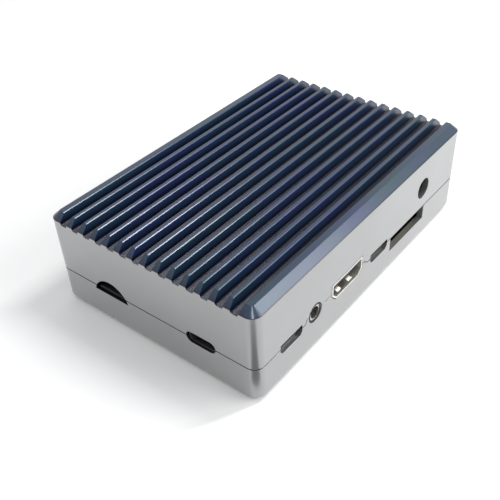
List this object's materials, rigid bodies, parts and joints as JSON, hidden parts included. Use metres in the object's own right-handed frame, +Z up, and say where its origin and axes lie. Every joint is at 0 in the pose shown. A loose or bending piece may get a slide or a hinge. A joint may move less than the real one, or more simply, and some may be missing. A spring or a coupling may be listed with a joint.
{
  "type": "single board computer",
  "caption": "Small single board computer in a two-piece aluminium case with a finned heat-sink lid and ports cut through its walls.",
  "frame": {"origin": "middle of the footprint, on the surface that the feet stand on", "axes": "+X along the case's length towards the network and USB sockets, +Z up through the finned lid, and the long row of ports faces -Y"},
  "size_m": [0.105, 0.0704, 0.0306],
  "materials": {
    "case_dark": "dark blue-grey anodised fins on a silver shell",
    "case_silver": "satin anodised",
    "steel_dark": "black oxide",
    "rubber_black": "matt",
    "thermal_pad": "soft matt",
    "board_blue": "solder mask",
    "substrate_green": "laminate",
    "nickel_bright": "bright nickel plated",
    "nickel_dark": "dark nickel plated",
    "nickel": "nickel plated",
    "chip_black": "moulded epoxy",
    "ferrite": "pressed ferrite",
    "capacitor_can": "bright",
    "ceramic_tan": "fired ceramic with tinned ends",
    "resistor_black": "glazed with tinned ends",
    "light_green": "clear moulded",
    "gold": "gold plated",
    "connector_black": "moulded",
    "connector_ivory": "moulded",
    "connector_blue": "moulded",
    "connector_grey": "moulded",
    "card_black": "moulded"
  },
  "bodies": {
    "base": {"lower_shell": "case_silver", "case_screws": "steel_dark", "rubber_feet": "rubber_black", "processor_thermal_pad": "thermal_pad", "memory_thermal_pads": "thermal_pad", "circuit_board": "board_blue", "processor_substrate": "substrate_green", "processor_lid": "nickel", "memory_chips": "chip_black", "storage_chip": "chip_black", "power_management_chip": "chip_black", "power_inductors": "ferrite", "network_chip": "chip_black", "usb_hub_chip": "chip_black", "clock_crystals": "nickel", "bulk_capacitors": "capacitor_can", "ceramic_capacitors": "ceramic_tan", "chip_resistors": "resistor_black", "status_lights": "light_green", "wireless_module": "substrate_green", "wireless_shield": "nickel", "antenna_sockets": "gold", "pin_header_housing": "connector_black", "pin_header_pins": "gold", "fan_socket": "connector_ivory", "fan_socket_pins": "nickel", "video_shell": "nickel_bright", "video_insert": "connector_black", "video_contacts": "gold", "audio_body": "connector_black", "audio_sleeve": "nickel", "data_shell_a": "nickel_dark", "data_insert_a": "connector_black", "data_shell_b": "nickel_dark", "data_insert_b": "connector_black", "power_shell": "nickel_dark", "power_insert": "connector_black", "card_socket_frame": "connector_black", "card_socket_cover": "nickel", "card_contacts": "gold", "ribbon_socket_upper": "connector_grey", "ribbon_socket_lower": "connector_grey", "network_jack_shell": "nickel", "network_jack_insert": "connector_black", "network_jack_contacts": "gold", "usb_stack_shells": "nickel", "usb_stack_inserts": "connector_blue", "usb_stack_contacts": "gold", "power_switch_body": "nickel", "reset_switch_body": "nickel"},
    "lid": {"upper_shell": "case_dark"},
    "memory_card": {"memory_card": "card_black"},
    "upper_latch": {"ribbon_latch_upper": "connector_black"},
    "lower_latch": {"ribbon_latch_lower": "connector_black"},
    "power_button": {"power_switch_plunger": "connector_black"},
    "reset_button": {"reset_switch_plunger": "connector_black"}
  },
  "joints": [
    {"name": "lid_lift", "type": "slide", "parent": "base", "child": "lid", "axis": [0, 0, 1], "range_m": [0, 0.045]},
    {"name": "card_slide", "type": "slide", "parent": "base", "child": "memory_card", "axis": [-1, 0, 0], "range_m": [0, 0.014]},
    {"name": "upper_latch_flip", "type": "hinge", "parent": "base", "child": "upper_latch", "pos_m": [0.0213, -0.029, 0.0113], "axis": [1, 0, 0], "range_deg": [0, 90]},
    {"name": "lower_latch_flip", "type": "hinge", "parent": "base", "child": "lower_latch", "pos_m": [0.0213, -0.029, 0.0073], "axis": [-1, 0, 0], "range_deg": [0, 90]},
    {"name": "power_button_press", "type": "slide", "parent": "base", "child": "power_button", "axis": [0, -1, 0], "range_m": [0, 0.00035], "stiffness_N_per_m": 1500},
    {"name": "reset_button_press", "type": "slide", "parent": "base", "child": "reset_button", "axis": [0, -1, 0], "range_m": [0, 0.00035], "stiffness_N_per_m": 1500}
  ]
}
